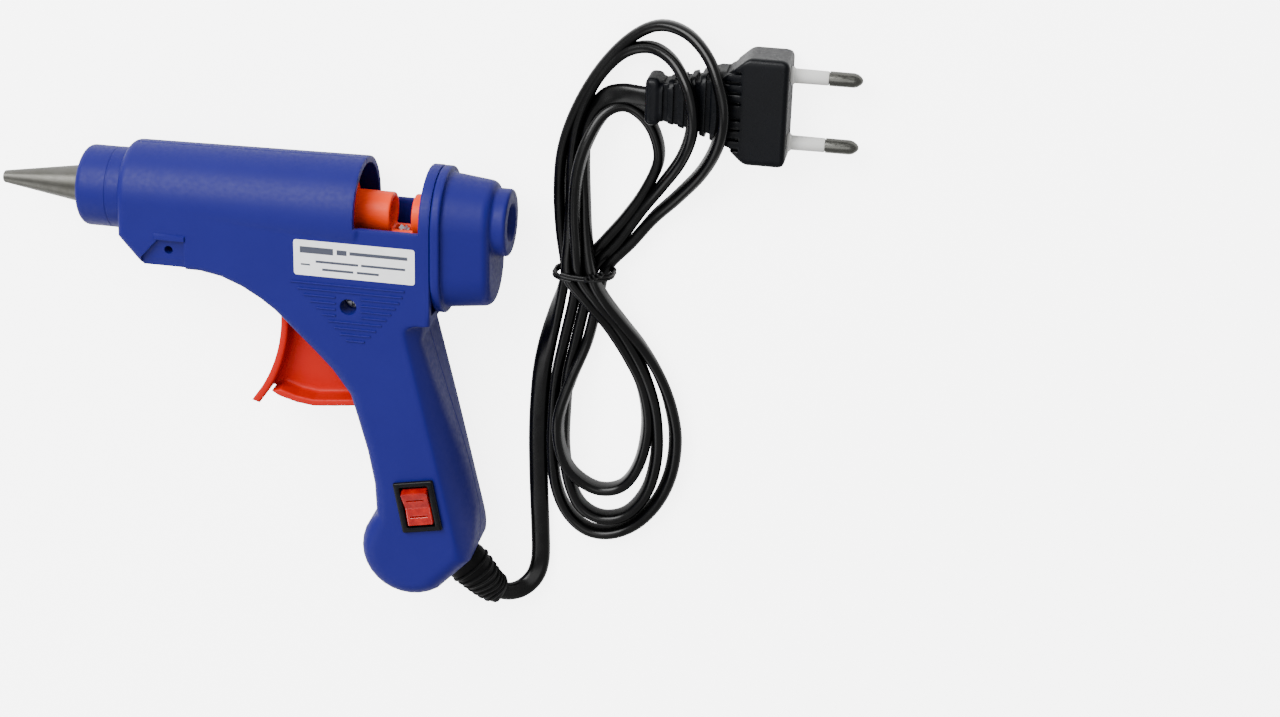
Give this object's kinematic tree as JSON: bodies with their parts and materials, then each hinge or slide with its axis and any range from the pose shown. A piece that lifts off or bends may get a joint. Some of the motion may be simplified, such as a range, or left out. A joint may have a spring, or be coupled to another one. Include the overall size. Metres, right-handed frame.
{
  "type": "glue gun",
  "caption": "Pistol-shaped hot-melt glue gun lying on its side: the trigger slides a stick feeder under an open window; side rocker switch; flat lead tied in a hank with a mains plug.",
  "frame": {"origin": "middle of the bottom of the box round the gun without its lead, on the surface it lies on", "axes": "+X back along the barrel from the nozzle to the stick inlet, +Y up the gun from the grip to the barrel, +Z out of the left side, away from the surface it lies on"},
  "size_m": [0.2385, 0.1796, 0.032],
  "materials": {
    "shell_blue": "satin moulded plastic",
    "nozzle_metal": "turned, satin",
    "chamber_metal": "cast, dull",
    "heat_plastic": "heat-proof, dull",
    "heater_ceramic": "ceramic, dull",
    "insulation_film": "film",
    "spring_steel": "bare",
    "seal_rubber": "dull",
    "carriage_orange": "satin moulded plastic",
    "trigger_orange": "satin moulded plastic",
    "switch_black": "satin",
    "rocker_red": "translucent",
    "terminal_brass": "tinned",
    "screw_steel": "zinc plated",
    "label_white": "printed film",
    "clamp_plastic": "dull",
    "wire_brown": "dull",
    "wire_blue": "dull",
    "sleeve_white": "fibre sleeve",
    "cord_black": "slightly glossy",
    "tie_black": "coated wire",
    "plug_black": "glossy moulding",
    "pin_sleeve_grey": "dull",
    "pin_metal": "nickel plated"
  },
  "bodies": {
    "body": {"left_shell": "shell_blue", "right_shell": "shell_blue", "nose_ring": "shell_blue", "rear_cap": "shell_blue", "nozzle": "nozzle_metal", "melt_chamber": "chamber_metal", "front_support": "heat_plastic", "rear_support": "heat_plastic", "ptc_heater": "heater_ceramic", "heater_insulation": "insulation_film", "heater_clip": "spring_steel", "stick_seal": "seal_rubber", "seal_clamp": "screw_steel", "return_spring": "spring_steel", "trigger_pin": "screw_steel", "switch_body": "switch_black", "switch_terminals": "terminal_brass", "body_screw": "screw_steel", "label": "label_white", "cord_clamp": "clamp_plastic", "clamp_screws": "screw_steel", "live_wire": "wire_brown", "neutral_wire": "wire_blue", "heater_wire": "wire_brown", "wire_sleeves": "sleeve_white", "strain_relief": "cord_black", "cord_tail": "cord_black", "cord_lead": "cord_black", "cord_hank": "cord_black", "cord_tie": "tie_black", "cord_plug_end": "cord_black", "plug_body": "plug_black", "plug_pin_sleeves": "pin_sleeve_grey", "plug_pins": "pin_metal"},
    "trigger": {"trigger": "trigger_orange"},
    "carriage": {"carriage": "carriage_orange", "drive_pin": "screw_steel", "jaw_pin": "screw_steel"},
    "jaw": {"stick_jaw": "spring_steel"},
    "rocker": {"switch_rocker": "rocker_red"}
  },
  "joints": [
    {"name": "trigger_pull", "type": "hinge", "parent": "body", "child": "trigger", "pos_m": [0.019, 0.02602, 0.015], "axis": [0, 0, 1], "range_deg": [0, 24], "stiffness_Nm_per_rad": 0.05, "springref_deg": -8.59},
    {"name": "carriage_slide", "type": "slide", "parent": "body", "child": "carriage", "axis": [-1, 0, 0], "range_m": [0, 0.005], "deforming": ["return_spring"]},
    {"name": "jaw_bite", "type": "hinge", "parent": "carriage", "child": "jaw", "pos_m": [0.0428, 0.04242, 0.015], "axis": [0, 0, 1], "range_deg": [0, 6.5]},
    {"name": "rocker_tilt", "type": "hinge", "parent": "body", "child": "rocker", "pos_m": [0.05003, -0.03342, 0.0281], "axis": [0.9816, 0.1908, 0], "range_deg": [-14, 0]}
  ],
  "couplings": [
    {"joint": "carriage_slide", "follows": "trigger_pull", "m_per_rad": 0.011671},
    {"joint": "jaw_bite", "follows": "trigger_pull", "ratio": 0.25}
  ]
}
